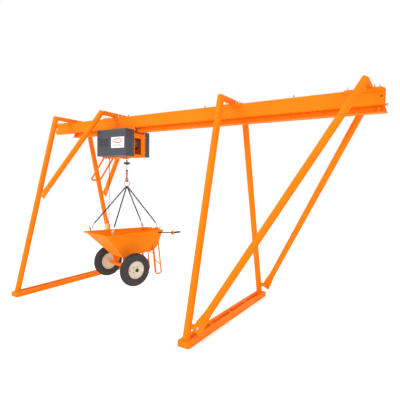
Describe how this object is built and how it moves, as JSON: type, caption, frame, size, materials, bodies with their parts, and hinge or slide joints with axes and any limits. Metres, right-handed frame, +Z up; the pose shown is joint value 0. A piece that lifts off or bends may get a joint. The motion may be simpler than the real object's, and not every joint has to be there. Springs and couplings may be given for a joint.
{
  "type": "portable gantry crane",
  "caption": "Portable gantry crane: a box beam on two A-frames, with a travelling rope winch lifting a two-wheeled tub on a chain sling and a hanging push-button control.",
  "frame": {"origin": "on the floor under the middle of the beam", "axes": "X along the beam toward the end with the long braces, Y across it toward the rear, Z up"},
  "size_m": [4.8, 1.994, 2.5689],
  "materials": {
    "black": "satin enamel",
    "button_dark": "gloss",
    "button_light": "gloss",
    "cream": "enamel",
    "dark": "dark oiled steel",
    "orange": "semi-gloss enamel",
    "pendant": "satin",
    "red": "enamel",
    "rope": "greased wire rope",
    "rubber": "matte",
    "steel": "zinc plated",
    "tyre": "matte"
  },
  "bodies": {
    "gantry": {"main_beam": "orange", "runway_rail": "orange", "rail_stops": "orange", "cable_eyes": "dark", "cross_arms": "orange", "saddles": "orange", "saddle_studs": "steel", "leg_right_front": "orange", "leg_right_rear": "orange", "leg_left_front": "orange", "leg_left_rear": "orange", "brace_right_front": "orange", "brace_right_rear": "orange", "brace_left_front": "orange", "brace_left_rear": "orange", "joint_bolts": "steel", "base_right": "orange", "base_left": "orange"},
    "trolley": {"frame_plates": "orange", "frame_tray": "orange", "wheel_axles": "steel", "front_cover": "black", "back_cover": "black", "cover_screws": "steel", "pull_handle": "orange", "gearmotor": "dark", "control_gear": "dark", "limit_switch": "dark", "cable_gland": "dark"},
    "roller_front_left": {"trolley_wheel_front_left": "steel"},
    "roller_front_right": {"trolley_wheel_front_right": "steel"},
    "roller_rear_left": {"trolley_wheel_rear_left": "steel"},
    "roller_rear_right": {"trolley_wheel_rear_right": "steel"},
    "fan": {"cooling_fan": "dark"},
    "drum": {"rope_drum": "steel", "rope_wraps": "rope", "drum_shaft": "steel"},
    "hook_block": {"hoist_rope": "rope", "limit_disc": "dark", "rope_ball": "dark"},
    "hook": {"swivel_hook": "red"},
    "latch": {"safety_latch": "dark"},
    "load": {"sling_ring": "steel", "sling_chains": "dark", "sling_hooks": "steel", "tub": "orange", "tub_eyes": "orange", "cart_frame": "orange", "cart_stands": "orange", "cart_handles": "dark", "grips": "rubber"},
    "wheel_left": {"tyre_left": "tyre", "rim_left": "cream"},
    "wheel_right": {"tyre_right": "tyre", "rim_right": "cream"},
    "pendant": {"pendant_case": "pendant", "pendant_cable": "rubber", "strain_wire": "steel"},
    "up_key": {"up_button": "button_light"},
    "down_key": {"down_button": "button_dark"}
  },
  "joints": [
    {"name": "trolley_travel", "type": "slide", "parent": "gantry", "child": "trolley", "axis": [1, 0, 0], "range_m": [-0.5, 1.2]},
    {"name": "roller_front_left_spin", "type": "hinge", "parent": "trolley", "child": "roller_front_left", "pos_m": [-1.175, -0.0275, 2.3072], "axis": [0, 1, 0], "continuous": true},
    {"name": "roller_front_right_spin", "type": "hinge", "parent": "trolley", "child": "roller_front_right", "pos_m": [-0.715, -0.0275, 2.3072], "axis": [0, 1, 0], "continuous": true},
    {"name": "roller_rear_left_spin", "type": "hinge", "parent": "trolley", "child": "roller_rear_left", "pos_m": [-1.175, 0.0275, 2.3072], "axis": [0, 1, 0], "continuous": true},
    {"name": "roller_rear_right_spin", "type": "hinge", "parent": "trolley", "child": "roller_rear_right", "pos_m": [-0.715, 0.0275, 2.3072], "axis": [0, 1, 0], "continuous": true},
    {"name": "hook_lift", "type": "slide", "parent": "trolley", "child": "hook_block", "axis": [0, 0, 1], "range_m": [-0.18, 0.045], "deforming": ["hoist_rope"]},
    {"name": "drum_spin", "type": "hinge", "parent": "trolley", "child": "drum", "pos_m": [-0.8037, 0, 2.134], "axis": [0, 1, 0], "continuous": true},
    {"name": "fan_spin", "type": "hinge", "parent": "trolley", "child": "fan", "pos_m": [-1, -0.168, 2.082], "axis": [1, 0, 0], "continuous": true},
    {"name": "hook_swivel", "type": "hinge", "parent": "hook_block", "child": "hook", "pos_m": [-0.877, 0, 1.74], "axis": [0, 0, 1], "range_deg": [-7, 7]},
    {"name": "latch_pivot", "type": "hinge", "parent": "hook", "child": "latch", "pos_m": [-0.87315, -0.0011, 1.6571], "axis": [0.274, 0.9617, 0], "range_deg": [0, 28], "stiffness_Nm_per_rad": 0.05},
    {"name": "load_swing", "type": "hinge", "parent": "hook", "child": "load", "pos_m": [-0.877, 0, 1.5981], "axis": [0.9617, -0.274, 0], "range_deg": [-4, 4]},
    {"name": "wheel_left_spin", "type": "hinge", "parent": "load", "child": "wheel_left", "pos_m": [-1.25462, 0.01399, 0.416], "axis": [0.9617, -0.274, 0], "continuous": true},
    {"name": "wheel_right_spin", "type": "hinge", "parent": "load", "child": "wheel_right", "pos_m": [-0.5487, -0.1871, 0.416], "axis": [0.9617, -0.274, 0], "continuous": true},
    {"name": "pendant_swing", "type": "hinge", "parent": "trolley", "child": "pendant", "pos_m": [-1.289, 0.03, 1.926], "axis": [1, 0, 0], "range_deg": [-5, 5]},
    {"name": "up_press", "type": "slide", "parent": "pendant", "child": "up_key", "axis": [0, 1, 0], "range_m": [0, 0.005], "stiffness_N_per_m": 300},
    {"name": "down_press", "type": "slide", "parent": "pendant", "child": "down_key", "axis": [0, 1, 0], "range_m": [0, 0.005], "stiffness_N_per_m": 300}
  ],
  "couplings": [
    {"joint": "roller_front_left_spin", "follows": "trolley_travel", "rad_per_m": 37.037},
    {"joint": "roller_front_right_spin", "follows": "trolley_travel", "rad_per_m": 37.037},
    {"joint": "roller_rear_left_spin", "follows": "trolley_travel", "rad_per_m": 37.037},
    {"joint": "roller_rear_right_spin", "follows": "trolley_travel", "rad_per_m": 37.037},
    {"joint": "drum_spin", "follows": "hook_lift", "rad_per_m": 13.699},
    {"joint": "fan_spin", "follows": "hook_lift", "rad_per_m": 273.97}
  ]
}
